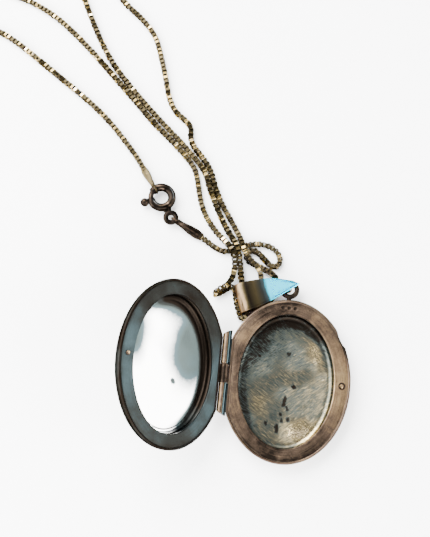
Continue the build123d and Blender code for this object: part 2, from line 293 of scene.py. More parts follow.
FILM_EDGE = 0.25  # what a film leaves of the reflection at a grazing angle
RELIEF_DEPTH = 0.03 * MM
PIT_SPACING = 1.3 * MM
SCRATCH_LENGTH, SCRATCH_WIDTH = 1.2 * MM, 0.11 * MM


def add_node(tree, kind, inputs, **settings):
    """A shader node with its settings, and each of its inputs set to a value or linked."""
    made = tree.nodes.new(kind)
    for name, value in settings.items():
        setattr(made, name, value)
    for name, value in inputs.items():
        if isinstance(value, bpy.types.NodeSocket):
            tree.links.new(value, made.inputs[name])
        else:
            made.inputs[name].default_value = value
    return made


def noise(tree, vector, size, detail=4.0, distortion=0.0):
    """Noise with grains of this size in metres, as a value about 0.5."""
    inputs = {"Vector": vector, "Scale": 1 / size, "Detail": detail, "Distortion": distortion}
    return add_node(tree, "ShaderNodeTexNoise", inputs).outputs["Fac"]


def combine(tree, operation, first, second):
    """A Math node on two sockets or numbers."""
    return add_node(tree, "ShaderNodeMath", {0: first, 1: second}, operation=operation).outputs[0]


def added(tree, value, more, share):
    """The value with share times what the other is over or under a half."""
    change = combine(tree, "MULTIPLY", combine(tree, "SUBTRACT", more, 0.5), share)
    return combine(tree, "ADD", value, change)


def spread(tree, value, low, high, from_low, from_high):
    """The value moved from one range to another, held at its ends."""
    inputs = {"Value": value, "From Min": from_low, "From Max": from_high, "To Min": low, "To Max": high}
    return add_node(tree, "ShaderNodeMapRange", inputs).outputs["Result"]


def ramp(tree, value, stops):
    """Colours along a ramp, as (place, colour) pairs."""
    made = add_node(tree, "ShaderNodeValToRGB", {"Fac": value})
    elements = made.color_ramp.elements
    while len(elements) < len(stops):
        elements.new(0.5)
    for element, (place, colour) in zip(elements, stops):
        element.position = place
        element.color = (*colour, 1)
    return made.outputs["Color"]


def scratches(tree, place, degrees):
    """Noise drawn out into fine lines that run this way across the piece."""
    turned = add_node(tree, "ShaderNodeMapping", {
        "Vector": place, "Rotation": (0, 0, math.radians(degrees)),
        "Scale": (SCRATCH_LENGTH, SCRATCH_WIDTH, SCRATCH_LENGTH),
    }, vector_type="TEXTURE")
    return noise(tree, turned.outputs["Vector"], 1.0, 4.0, 0.8)


def silver(name, stops, patch_size, tone_share, shine, brush=None, bump=0.15, pits=0.0, rub=None):
    """Silver under a tarnish film. The film's thickness is the piece's own tone attribute plus
    patchy noise, and the ramp's stops turn it into the palette's colours. shine is the
    roughness of clean and of tarnished metal. brush is the length and width of the polishing
    lines along the UV map. rub is the two ways that scratches run and how strong they are."""
    material = bpy.data.materials.new(name)
    material.use_nodes = True
    tree = material.node_tree
    place = add_node(tree, "ShaderNodeTexCoord", {}).outputs["Object"]
    tone = add_node(tree, "ShaderNodeAttribute", {}, attribute_name="tone").outputs["Fac"]
    grains = noise(tree, place, patch_size / 9, 5.0)
    film = added(tree, tone, noise(tree, place, patch_size, 6.0, 0.6), tone_share)
    film = added(tree, film, grains, tone_share * 0.5)
    height = combine(tree, "MULTIPLY", grains, 0.5)
    rough = spread(tree, film, shine[1], shine[0], 0.15, 0.85)
    if brush:
        along = add_node(tree, "ShaderNodeUVMap", {}, uv_map="along").outputs["UV"]
        stretch = {"Vector": along, "Scale": (1 / brush[0], 1 / brush[1], 1)}
        lines = noise(tree, add_node(tree, "ShaderNodeMapping", stretch).outputs["Vector"], 1.0, 5.0)
        film = added(tree, film, lines, tone_share * 0.9)
        height = combine(tree, "ADD", height, combine(tree, "MULTIPLY", lines, 1.2))
        rough = added(tree, rough, lines, 0.25)
    if pits:
        holes = add_node(tree, "ShaderNodeTexVoronoi", {"Vector": place, "Scale": 1 / PIT_SPACING})
        dots = spread(tree, holes.outputs["Distance"], 1.0, 0.0, 0.02, 0.11)
        film = combine(tree, "SUBTRACT", film, combine(tree, "MULTIPLY", dots, pits))
    if rub:
        turn = spread(tree, noise(tree, place, 5 * MM, 1.0), 0, 1, 0.42, 0.58)
        first = combine(tree, "MULTIPLY", scratches(tree, place, rub[0]), turn)
        rest = combine(tree, "SUBTRACT", 1.0, turn)
        second = combine(tree, "MULTIPLY", scratches(tree, place, rub[1]), rest)
        lines = combine(tree, "ADD", first, second)
        film = added(tree, film, lines, rub[2])
        height = added(tree, height, lines, 2.5)
    relief = add_node(tree, "ShaderNodeBump", {"Strength": bump, "Distance": RELIEF_DEPTH, "Height": height})
    colours = bpy.context.scene.locket_colours
    shader = tree.nodes["Principled BSDF"].inputs
    shader["Metallic"].default_value = 1.0
    shader["Specular Tint"].default_value = (FILM_EDGE, FILM_EDGE, FILM_EDGE, 1.0)
    for name, value in (
        ("Base Color", ramp(tree, film, [(at, getattr(colours, tint)) for at, tint in stops.items()])),
        ("Roughness", rough), ("Normal", relief.outputs["Normal"]),
    ):
        tree.links.new(value, shader[name])
    return material


def shell_finish():
    stops = {0.0: "soot", 0.3: "umber", 0.6: "copper", 1.0: "cream"}
    return silver("shell silver", stops, 4 * MM, 0.5, (0.28, 0.5), bump=0.12)


def lid_shell_finish():
    stops = {0.0: "soot", 0.3: "slate", 0.6: "steel", 1.0: "cream"}
    return silver("lid shell silver", stops, 4 * MM, 0.5, (0.28, 0.5), bump=0.12)


def back_rim_finish():
    stops = {0.0: "soot", 0.28: "umber", 0.62: "copper", 1.0: "gold"}
    return silver("brown rim", stops, 2.2 * MM, 0.7, (0.28, 0.46), (9 * MM, 0.14 * MM), bump=0.45, pits=0.25)


def lid_rim_finish():
    stops = {0.0: "soot", 0.3: "slate", 0.66: "steel", 1.0: "sage"}
    return silver("grey rim", stops, 2.6 * MM, 0.36, (0.45, 0.58), (9 * MM, 0.12 * MM), bump=0.2, pits=0.2)


def back_bowl_finish():
    stops = {0.0: "soot", 0.1: "soot", 0.24: "teal", 0.5: "sage", 0.76: "straw", 1.0: "cream"}
    return silver("scratched bowl", stops, 3 * MM, 0.4, (0.22, 0.42), bump=0.7, pits=0.15, rub=(38, -32, 1.3))


def lid_bowl_finish():
    stops = {0.0: "soot", 0.12: "slate", 0.3: "slate", 0.52: "teal", 0.66: "steel", 0.98: "bright"}
    return silver("mirror bowl", stops, 5 * MM, 0.12, (0.04, 0.4), bump=0.03)


def hinge_finish():
    stops = {0.0: "soot", 0.2: "umber", 0.42: "copper", 0.62: "gold", 0.72: "steel", 1.0: "steel"}
    return silver("hinge silver", stops, 0.9 * MM, 0.45, (0.2, 0.42), bump=0.6)


def bail_finish():
    # Bands from the fold to the tip, part tarnish film and part painted reflection: the copper stripe by the
    # fold is a painted highlight and the cyan towards the tip a painted reflection.
    stops = {
        0.0: "soot", 0.03: "copper", 0.08: "bronze", 0.14: "soot",
        0.27: "bronze", 0.38: "slate", 0.44: "steel", 0.48: "sky",
    }
    return silver("bail silver", stops, 2.4 * MM, 0.03, (0.22, 0.34), bump=0.08, rub=(109.1, 109.1, 0.06))


def chain_finish():
    stops = {0.0: "soot", 0.3: "bronze", 0.5: "bronze", 0.78: "brass", 0.95: "cream", 1.0: "steel"}
    return silver("chain silver", stops, 0.8 * MM, 0.3, (0.14, 0.38), bump=0.06)


def dark_finish():
    stops = {0.0: "soot", 0.45: "soot", 0.62: "umber", 0.78: "steel", 1.0: "bright"}
    return silver("dark silver", stops, 1.0 * MM, 0.5, (0.12, 0.26), bump=0.2)


def spring_finish():
    return silver("spring wire", {0.0: "steel", 1.0: "bright"}, 0.5 * MM, 0.4, (0.2, 0.3), bump=0.05)


# ---------------------------------------------------------------- halves

GAP = 0.02 * MM  # between a shell and what is set into it
SHELL_LIP = 0.12 * MM
RIM_DIP = 0.02 * MM
BOWL_SKIN = 0.35 * MM
NOTCH_ANGLE = math.radians(35)
NOTCH_DEPTH, NOTCH_REACH = 0.36 * MM, 2.1 * MM
CATCH_X = 10.8 * MM
DIMPLE_DEPTH, DIMPLE_RADIUS = 0.46 * MM, 0.5 * MM
BURR_HEIGHT, BURR_RADIUS = 0.03 * MM, 0.66 * MM
PUNCH_DEPTH, PUNCH_RADIUS = 0.08 * MM, 0.42 * MM
PUNCH_Y = 14.3 * MM
PUNCH_XS = (-1.7 * MM, -0.5 * MM, 0.7 * MM)

# Dark spots in millimetres: x, y, radius, then depth of tone
BACK_SPOTS = (
    (0.4, 5.7, 0.6, 0.3), (-5.3, 4.7, 0.25, 0.6), (1.8, -0.8, 0.5, 0.6), (0.3, -3.0, 0.4, 0.6),
    (0.2, -3.7, 0.45, 0.6), (0.1, -4.4, 0.5, 0.6), (0.8, -5.1, 0.4, 0.5), (-0.4, -6.2, 0.35, 0.55),
    (1.1, -7.2, 0.5, 0.55), (-0.1, -7.5, 0.42, 0.55), (-3.1, -8.2, 0.42, 0.6),
    (-1.0, -8.8, 0.55, 0.6), (-0.9, -9.6, 0.5, 0.6),
)
LID_SPOTS = ((-1.9, 2.9, 0.62, 0.5),)
# Wide soft patches, mostly painted light, in millimetres: x, y, width, length, then depth (negative is
# brighter)
# Back bowl: the brighter patches are painted highlights, the darker ones painted shade on the far and left
# walls.
BACK_HIGHLIGHTS_AND_SHADE = (
    (6.0, 7.0, 1.9, 2.8, -0.44), (7.6, -2.0, 2.0, 6.0, -0.12), (4.0, -9.6, 3.8, 2.4, -0.44),
    (-5.0, -4.5, 2.2, 2.6, -0.24), (-5.5, 8.5, 4.8, 4.8, 0.3), (-9.0, -2.0, 2.6, 9.0, 0.3),
    (0.0, 12.6, 7.0, 2.0, 0.3),
)
# Lid's mirror bowl: darker patches of painted reflection over a tarnish film.
LID_REFLECTIONS_AND_TARNISH = (
    (-5.4, -2.6, 5.2, 5.6, 0.6), (8.0, -4.6, 2.6, 5.0, 0.6),
    (0.0, -12.6, 8.0, 3.2, 0.6), (-7.0, -8.0, 3.6, 5.0, 0.4),
)


def shell_rows(s):
    """The outer shell's profile as rows: the inner floor from its centre, up the inner wall,
    over the lip and down the dome to the centre of the outer flat."""
    inner = arc(s.dome_radius, s.dome_radius, s.dome_radius - s.wall, 270, 180, 16)
    outer = arc(s.dome_radius, s.dome_radius, s.dome_radius, 180, 270, 30)
    over = np.linspace(0, math.pi, 9)
    inset = np.concatenate([inner[:, 0], [s.wall], np.linspace(s.wall, 0, 9), outer[:, 0]])
    lip_z = face_z - SHELL_LIP
    z = np.concatenate([inner[:, 1], [lip_z], lip_z + SHELL_LIP * np.sin(over), outer[:, 1]])
    inside_x = hinge_wall_x + s.wall
    cut = np.concatenate([
        np.full(17, inside_x), np.linspace(inside_x, hinge_wall_x, 9), np.full(30, hinge_wall_x),
    ])
    shrink = np.array([0.001, 0.25, 0.5, 0.75, 0.9])
    semi_a, semi_b = (
        np.concatenate([(half - s.dome_radius) * shrink, half - inset, (half - s.dome_radius) * shrink[::-1]])
        for half in (half_width, half_length)
    )
    z = np.concatenate([np.full(5, s.wall), z, np.zeros(5)])
    cut = np.concatenate([np.full(5, inside_x), cut, np.full(5, hinge_wall_x)])
    return ellipse_rows(semi_a, semi_b, z, cut, 288)


def notch_shade(local):
    """How dark the painted shade is round the thumb notch: a bell longer along the edge than across."""
    side, up = local[:, 0] - 11.5 * MM, local[:, 1] - 7.6 * MM
    across, along = 0.8 * side + 0.6 * up, 0.8 * up - 0.6 * side
    return np.exp(-((across / (0.9 * MM)) ** 2) - (along / (2.4 * MM)) ** 2)


def make_shell(name, body, notched, base, finish):
    """One outer shell. The thumb notch is a bell-shaped dent pushed into the lip."""
    rows = close_poles(shell_rows(bpy.context.scene.locket_sizes))
    if notched:
        spot = np.array([half_width * math.cos(NOTCH_ANGLE), half_length * math.sin(NOTCH_ANGLE)])
        along = np.linalg.norm(rows[..., :2] - spot, axis=-1)
        depth = NOTCH_DEPTH * (1 - smooth_step(along, 0.5 * MM, NOTCH_REACH))
        depth = depth * smooth_step(rows[..., 2], face_z - 1.4 * MM, face_z - 0.6 * MM)
        rows[..., :2] -= depth[..., None] * spot / np.linalg.norm(spot)
    piece = surface_from_rows(name, rows, False, body)
    local = local_points(piece, body)
    # Painted shade in the thumb notch's dent.
    painted_notch_shade = 0.3 * notch_shade(local) if notched else 0
    lip = 0.12 * smooth_step(local[:, 2], face_z - 0.3 * MM, face_z)
    set_tone(piece, base - painted_notch_shade + 0.12 * hand_wear(local, 6 * MM, 1.3) - lip)
    finish_piece(piece, body, finish, (body + "_shell",))


def rim_rows(s):
    """The rim frame's profile as rows between the opening and the shell: a rounded inner
    edge, a top that dips by half a sine wave, a rounded outer edge and a flat underside."""
    across = np.concatenate([
        [0, 0, 0.006, 0.02, 0.045, 0.08], np.linspace(0.12, 0.9, 30),
        [0.93, 0.955, 0.975, 0.99, 1.0], [1.0, 0.7, 0.35],
    ])
    inner_edge = np.array([0.2, 0.11, 0.055, 0.02, 0.005]) * MM
    outer_edge = np.array([0.02, 0.025, 0.035, 0.05, 0.08]) * MM
    drop = np.concatenate([
        [s.rim_thickness], inner_edge, RIM_DIP - RIM_DIP * np.sin(np.linspace(0, math.pi, 30)),
        outer_edge, np.full(3, s.rim_thickness),
    ])
    outer_a, outer_b = half_width - s.wall - GAP, half_length - s.wall - GAP
    semi_a = s.opening_width + across * (outer_a - s.opening_width)
    semi_b = s.opening_length + across * (outer_b - s.opening_length)
    cut = across * (hinge_wall_x + s.wall + GAP + s.opening_width) - s.opening_width
    return ellipse_rows(semi_a, semi_b, face_z - drop, cut, 720)


def catch_distance(points):
    """How far a point is from the middle of the catch's dimple."""
    return np.hypot(points[..., 0] - CATCH_X, points[..., 1])


def punch_distance(points):
    """How far a point is from the nearest of three plain punched dots at the bail end."""
    return np.min([np.hypot(points[..., 0] - x, points[..., 1] - PUNCH_Y) for x in PUNCH_XS], axis=0)


def catch_relief(rows):
    """Height of the back rim's marks: the catch's dimple with its raised edge, and the dots."""
    far = catch_distance(rows)
    dimple = DIMPLE_DEPTH * (1 - smooth_step(far, 0.36 * MM, DIMPLE_RADIUS))
    dots = PUNCH_DEPTH * (1 - smooth_step(punch_distance(rows), 0.2 * MM, PUNCH_RADIUS))
    return BURR_HEIGHT * bell(far - BURR_RADIUS, 0.1 * MM) - dimple - dots


def back_rim_tone(local):
    """Brighter beside the catch and in two patches, the one at the upper left a painted highlight; darker at
    both ends;
    painted shade in the notch; dark in the dots; a painted highlight in the catch's dimple with painted shade
    round it."""
    x, y = local[:, 0], local[:, 1]
    tone = 0.27 + 0.45 * smooth_step(x / half_width, 0.3, 0.95) * bell(y - 1 * MM, 7 * MM)
    tone -= 0.12 * smooth_step(np.abs(y), 8 * MM, 14 * MM)
    # Painted highlight: brushed streaks at the upper left.
    tone += 0.14 * patch(local, -9 * MM, 8.5 * MM, 2 * MM, 2.6 * MM)
    tone += 0.22 * patch(local, 6.5 * MM, 12.5 * MM, 3 * MM, 2.4 * MM)
    # Painted shade in the thumb notch.
    tone -= 0.35 * notch_shade(local)
    far = catch_distance(local)
    # Painted highlight inside the catch's dimple and a line of painted shade round it.
    tone += 0.2 * (1 - smooth_step(far, 0.2 * MM, 0.35 * MM)) - 1.1 * bell(far - 0.55 * MM, 0.14 * MM)
    dots = punch_distance(local)
    return tone + 0.12 * bell(dots - 0.5 * MM, 0.12 * MM) - 0.3 * (1 - smooth_step(dots, 0.2 * MM, 0.4 * MM))


def lid_rim_tone(local):
    """Brighter on the side away from the hinge, beside the hinge and at one end's corner."""
    x, y = local[:, 0], local[:, 1]
    tone = 0.3 + 0.22 * smooth_step(x, 6 * MM, 11 * MM) - 0.1 * smooth_step(-y, 2 * MM, 9 * MM)
    tone += 0.12 * smooth_step(y, 2 * MM, 8 * MM) * smooth_step(-x, 4 * MM, 9 * MM)
    return tone + 0.24 * smooth_step(-x, 7 * MM, 10 * MM) * bell(y, 8 * MM)


def make_rim(name, body, catch, finish):
    """One rim frame, a little uneven on top. The back half's also has the catch and the dots."""
    rows = rim_rows(bpy.context.scene.locket_sizes)
    top = smooth_step(rows[..., 2], face_z - 0.25 * MM, face_z - 0.12 * MM)
    rows[..., 2] += top * 0.012 * MM * hand_wear(rows, 2.2 * MM, 2.0 if catch else 5.0)
    if catch:
        rows[..., 2] += top * catch_relief(rows)
    piece = surface_from_rows(name, rows, True, body)
    local = local_points(piece, body)
    edge = smooth_step(np.hypot(local[:, 0] / half_width, local[:, 1] / half_length), 0.9, 0.97)
    tone = back_rim_tone(local) if catch else lid_rim_tone(local)
    set_tone(piece, tone + 0.09 * hand_wear(local, 3.5 * MM, 3.1) - 0.1 * edge)
    finish_piece(piece, body, finish, (body + "_rim",))


def bowl_rows(s, dish):
    """A bowl's profile as rows: the floor, dished by dish at its edge, the round turn up into
    the wall, the wall to the rim, and back down outside."""
    low = s.wall + GAP
    high = face_z - s.rim_thickness - 0.01 * MM
    centre_z = low + BOWL_SKIN + s.bowl_rounding
    turn = arc(s.bowl_rounding, centre_z, s.bowl_rounding, 270, 180, 18)
    back = arc(s.bowl_rounding, centre_z, s.bowl_rounding + BOWL_SKIN, 180, 270, 12)
    turn[:, 1] += dish * (1 - np.linspace(0, 1, 18))
    inset = np.concatenate([turn[:, 0], [0, -BOWL_SKIN], back[:, 0]])
    shrink = np.concatenate([[0.001], np.linspace(0.04, 0.97, 26)])
    under = shrink[::-3]
    semi_a, semi_b = (
        np.concatenate([(half - s.bowl_rounding) * shrink, half - inset, (half - s.bowl_rounding) * under])
        for half in (s.opening_width, s.opening_length)
    )
    floor = low + BOWL_SKIN + dish * shrink**2
    z = np.concatenate([floor, turn[:, 1], [high, high], back[:, 1], np.full(len(under), low)])
    no_cut = np.full(len(z), -1.0)
    return ellipse_rows(semi_a, semi_b, z, no_cut, 360)


def make_bowl(name, body, dish, spots, patches, shade, wall, base, least, finish):
    """One bowl, base tone on its floor and less by wall on its wall as painted shade, and never under least
    except at the far end and in a spot. shade is the side, as x and y, on which the wall has more
    painted shade, and by how much. patches are wide soft patches, mostly painted light."""
    s = bpy.context.scene.locket_sizes
    piece = surface_from_rows(name, close_poles(bowl_rows(s, dish)), False, body)
    local = local_points(piece, body)
    ratio = np.hypot(local[:, 0] / s.opening_width, local[:, 1] / s.opening_length)
    shaded = smooth_step(local[:, :2] @ shade[:2] / s.opening_length, -0.35, 0.5)
    tone = base + 0.05 * hand_wear(local, 4 * MM, 0.7)
    tone -= smooth_step(ratio, 0.8, 0.93) * (wall + shade[2] * shaded)
    # Painted light from the patches: highlights and shade, and in the lid reflections over tarnish.
    film = sum(patch(local, *(np.array(row[:4]) * MM)) * row[4] for row in patches)
    tone -= np.minimum(film, 0.5)
    tone = np.maximum(tone, least * (1 - smooth_step(local[:, 1], 6 * MM, 11 * MM)))
    for x, y, radius, depth in spots:
        far = np.hypot(local[:, 0] - x * MM, local[:, 1] - y * MM)
        tone -= depth * (1 - smooth_step(far, 0.55 * radius * MM, radius * MM))
    set_tone(piece, tone)
    finish_piece(piece, body, finish, (body + "_bowl",))


# ---------------------------------------------------------------- wires, strips and copies

CREASE = math.radians(38)  # edges sharper than this are rounded over


def inflate(piece, thickness):
    """Moves every point of a piece outwards along its normal."""
    points = vertex_rows(piece.data) + thickness * vertex_rows(piece.data, "normal")
    piece.data.vertices.foreach_set("co", points.ravel())
    piece.data.update()


def frames_along(points, up):
    """At each point of a path: the way along, a level sideways direction and their upright."""
    way = np.gradient(points, axis=0)
    way /= np.linalg.norm(way, axis=1, keepdims=True)
    side = np.cross(up, way)
    side /= np.linalg.norm(side, axis=1, keepdims=True)
    return way, side, np.cross(way, side)


def round_wire(name, path, radius, sides, closed, up=(0, 0, 1)):
    """A wire: a circle of points carried along a path, its ends drawn in to a point."""
    if closed:
        around = np.vstack([path[-1], path, path[0]])
        _, side, rise = (a[1:-1] for a in frames_along(around, np.array(up)))
    else:
        _, side, rise = frames_along(path, np.array(up))
    a = np.linspace(0, TAU, sides, endpoint=False)
    points = path[:, None] + radius * (
        np.cos(a)[None, :, None] * side[:, None] + np.sin(a)[None, :, None] * rise[:, None]
    )
    if not closed:
        first, last = (np.broadcast_to(path[end], (1, sides, 3)) for end in (0, -1))
        points = np.concatenate([first, points, last])
    faces, row, col = grid_faces(len(points), sides, closed)
    return make_mesh(name, points, faces, row * radius, col / sides * TAU * radius)


def closed_strip(name, points):
    """A piece from sections along a path, each end drawn in to its section's middle."""
    ends = points[[0, -1]].mean(1, keepdims=True) + np.zeros_like(points[:1])
    points = np.concatenate([ends[:1], points, ends[1:]])
    faces, row, col = grid_faces(len(points), points.shape[1])
    return make_mesh(name, points, faces, row * 0.1 * MM, col * 0.1 * MM)


def squared_circle(a, power):
    """Points of a circle pushed out towards a square: the signed power of cosine and sine."""
    cos, sin = np.cos(a), np.sin(a)
    return np.sign(cos) * np.abs(cos) ** power, np.sign(sin) * np.abs(sin) ** power


def lofted_strip(name, path, half_wide, half_high, hollow=0.0):
    """A rounded strip along a path: each section is a squared circle of this half width and
    height, its top pressed in along the middle by hollow."""
    _, side, rise = frames_along(path, np.array((0, 0, 1.0)))
    x, z = squared_circle(np.linspace(0, TAU, 24, endpoint=False), 0.6)
    pressed = hollow * smooth_step(half_wide, 0.5 * half_wide.max(), half_wide.max())
    lift = half_high[:, None] * z - pressed[:, None] * (z > 0) * (1 - np.abs(x)) * 1.6
    points = path[:, None] + side[:, None] * (half_wide[:, None] * x)[..., None]
    return closed_strip(name, points + rise[:, None] * lift[..., None])


def direction(degrees):
    """The level direction at this angle from +X."""
    return np.array((math.cos(math.radians(degrees)), math.sin(math.radians(degrees)), 0))


def circle_path(centre, radius, normal, steps):
    """Points of a circle round a centre, from the X axis or, if it stands up, the Z axis."""
    normal = np.array(normal, float)
    first = np.array([1.0, 0, 0]) if abs(normal[2]) > 0.9 else np.array([0, 0, 1.0])
    first = first - normal * first.dot(normal)
    first /= np.linalg.norm(first)
    second = np.cross(normal, first)
    t = np.linspace(0, TAU, steps, endpoint=False)[:, None]
    return np.array(centre) + radius * (np.cos(t) * first + np.sin(t) * second)


def softened(name, node, bevel):
    """A copy of a CAD node with its triangles merged and its sharp edges rounded over."""
    mesh = frame["nodes"][node].data.copy()
    mesh.name = name
    solid = bmesh.new()
    solid.from_mesh(mesh)
    bmesh.ops.remove_doubles(solid, verts=solid.verts, dist=2e-6)
    bmesh.ops.dissolve_limit(solid, angle_limit=math.radians(0.7), verts=solid.verts, edges=solid.edges)
    solid.to_mesh(mesh)
    solid.free()
    mesh.polygons.foreach_set("use_smooth", [True] * len(mesh.polygons))
    mesh.set_sharp_from_angle(angle=CREASE)
    piece = stand(name, mesh)
    round_over = piece.modifiers.new("edges", "BEVEL")
    round_over.width = bevel
    round_over.segments = 2
    round_over.limit_method = "ANGLE"
    round_over.angle_limit = CREASE
    return piece


def joined(name, pieces):
    """Several mesh pieces made one, under a new name."""
    merged = bmesh.new()
    for piece in pieces:
        merged.from_mesh(piece.data)
        bpy.data.objects.remove(piece)
    mesh = bpy.data.meshes.new(name)
    merged.to_mesh(mesh)
    merged.free()
    return stand(name, mesh)


# ---------------------------------------------------------------- chain

TABLE_LINE = 0.00055  # height of the chain's line where it lies on the table


def on_table(*points):
    """Points of a chain that lies on the table, from their x and y."""
    return ((x, y, TABLE_LINE) for x, y in points)


# Where each chain lies, from the fold of the bail to its end tag
TO_RING_ROUTE = (
    (-0.0091, 0.0154, 0.0013), (-0.0084, 0.0136, 0.0013), (-0.0084, 0.0125, 0.001),
    (-0.009, 0.0118, 0.0007), (-0.0098, 0.012, 0.00058), (-0.0102, 0.0131, 0.00058),
    (-0.0106, 0.0144, 0.00058), (-0.011, 0.0157, 0.00058), (-0.0112, 0.0169, 0.00058),
    (-0.0115, 0.0178, 0.00058), (-0.0122, 0.0181, 0.00058), (-0.0131, 0.0175, 0.00058),
    (-0.0141, 0.0168, 0.0006), (-0.015, 0.016, 0.0008), (-0.0154, 0.0163, 0.0013),
    (-0.0145, 0.0171, 0.0017), (-0.0134, 0.0178, 0.0017), (-0.0126, 0.0187, 0.0015),
    (-0.0121, 0.0199, 0.0012), (-0.0119, 0.0212, 0.001), (-0.0118, 0.0226, 0.0009),
    (-0.0122, 0.0243, 0.0017), (-0.0129, 0.0258, 0.0017), (-0.0142, 0.0272, 0.0009),
    *on_table(
        (-0.0162, 0.029), (-0.018, 0.0312), (-0.0194, 0.0336), (-0.0203, 0.0364), (-0.021, 0.0394),
        (-0.0218, 0.0421), (-0.0238, 0.0444), (-0.0274, 0.0478), (-0.0316, 0.0513),
        (-0.0354, 0.0553), (-0.0396, 0.0594), (-0.0442, 0.064), (-0.0494, 0.0688),
        (-0.0546, 0.0729), (-0.0602, 0.0757), (-0.066, 0.0772), (-0.0715, 0.0786), (-0.077, 0.0778),
        (-0.0809, 0.0742), (-0.0803, 0.0694), (-0.0758, 0.0676), (-0.0706, 0.0689),
        (-0.0656, 0.068), (-0.0604, 0.065), (-0.055, 0.0612), (-0.0498, 0.0576), (-0.0448, 0.0541),
        (-0.0404, 0.0504), (-0.0364, 0.0461), (-0.0334, 0.0426),
    ),
    (-0.0322, 0.0407, 0.00065),
)
TO_EYE_ROUTE = (
    (-0.0091, 0.0154, 0.0013), (-0.0098, 0.0174, 0.0013), (-0.0103, 0.0195, 0.0012),
    (-0.0106, 0.0216, 0.0008), (-0.0109, 0.0233, 0.0009), (-0.0113, 0.0249, 0.0017),
    (-0.0119, 0.0265, 0.0017), (-0.013, 0.0282, 0.0009),
    *on_table(
        (-0.0144, 0.0303), (-0.0159, 0.0329), (-0.0172, 0.0356), (-0.0186, 0.0385),
        (-0.0195, 0.0414), (-0.0215, 0.0438), (-0.0249, 0.0472), (-0.0288, 0.0507),
        (-0.033, 0.0546), (-0.0372, 0.0588), (-0.0412, 0.0632), (-0.0444, 0.0682), (-0.047, 0.0732),
        (-0.0493, 0.078), (-0.0516, 0.083), (-0.0529, 0.0884), (-0.0512, 0.0934), (-0.0466, 0.0952),
        (-0.043, 0.0922), (-0.0436, 0.0868), (-0.0436, 0.0816), (-0.0404, 0.0776),
        (-0.0362, 0.0744), (-0.033, 0.0708), (-0.0314, 0.0662), (-0.0299, 0.0614),
        (-0.0289, 0.0572), (-0.0272, 0.0541), (-0.025, 0.0526), (-0.0234, 0.051), (-0.0235, 0.0488),
        (-0.0226, 0.0468), (-0.0206, 0.0448), (-0.0186, 0.0423), (-0.0175, 0.039), (-0.016, 0.0357),
        (-0.0141, 0.0328), (-0.0124, 0.0302),
    ),
    (-0.0113, 0.0283, 0.0009), (-0.0107, 0.0267, 0.0017), (-0.01, 0.0251, 0.00175),
    (-0.0089, 0.0237, 0.00165), (-0.0075, 0.0226, 0.00165), (-0.0066, 0.0213, 0.00175),
    (-0.0064, 0.0196, 0.00185), (-0.00596, 0.01854, 0.00185), (-0.0049, 0.0181, 0.00185),
    (-0.00384, 0.01854, 0.00185), (-0.0034, 0.0196, 0.00185), (-0.0036, 0.0208, 0.0016),
    (-0.0045, 0.0216, 0.0011), (-0.0057, 0.0222, 0.00075),
    *on_table(
        (-0.0069, 0.0228), (-0.0084, 0.0234), (-0.00935, 0.0238), (-0.00975, 0.02475),
        (-0.00935, 0.02575), (-0.0084, 0.0261), (-0.0073, 0.0256), (-0.0062, 0.0246),
        (-0.005, 0.0234), (-0.004, 0.02295), (-0.0031, 0.0234), (-0.00275, 0.0245),
        (-0.0031, 0.0257), (-0.0041, 0.0267), (-0.0054, 0.0273), (-0.0072, 0.0275),
        (-0.0091, 0.0272), (-0.011, 0.0264), (-0.0128, 0.0254), (-0.0146, 0.0251), (-0.0166, 0.026),
    ),
    (-0.0182, 0.0271, 0.0006), (-0.0193, 0.02775, 0.00065),
)


def route_line(name, route):
    """The smooth line of a chain: one NURBS spline on the route's points, read back as points."""
    curve = bpy.data.curves.new(name, "CURVE")
    curve.dimensions = "3D"
    curve.resolution_u = 12
    spline = curve.splines.new("NURBS")
    spline.points.add(len(route) - 1)
    spline.points.foreach_set("co", np.hstack([np.array(route), np.ones((len(route), 1))]).ravel())
    spline.order_u = 3
    spline.use_endpoint_u = True
    holder = stand(name, curve)
    bpy.context.view_layer.update()
    line = bpy.data.meshes.new_from_object(holder)
    points = vertex_rows(line).astype(float)
    bpy.data.objects.remove(holder)
    bpy.data.meshes.remove(line)
    return points


def box_link(length, width, depth, gauge):
    """One link, a rounded square loop of flat wire: a squared circle along and across the
    chain, with a rectangle of gauge by depth carried round it."""
    x, y = squared_circle(np.linspace(0, TAU, 12, endpoint=False) + TAU / 24, 0.42)
    section = np.array([(0, 1), (0, -1), (1, -1), (1, 1)]) * (gauge, depth / 2)
    along = x[:, None] * (length / 2 - section[:, 0])
    across = y[:, None] * (width / 2 - section[:, 0])
    level = np.broadcast_to(section[:, 1], along.shape)
    return np.stack([along, across, level], -1).reshape(-1, 3), grid_faces(12, 4, True)[0]


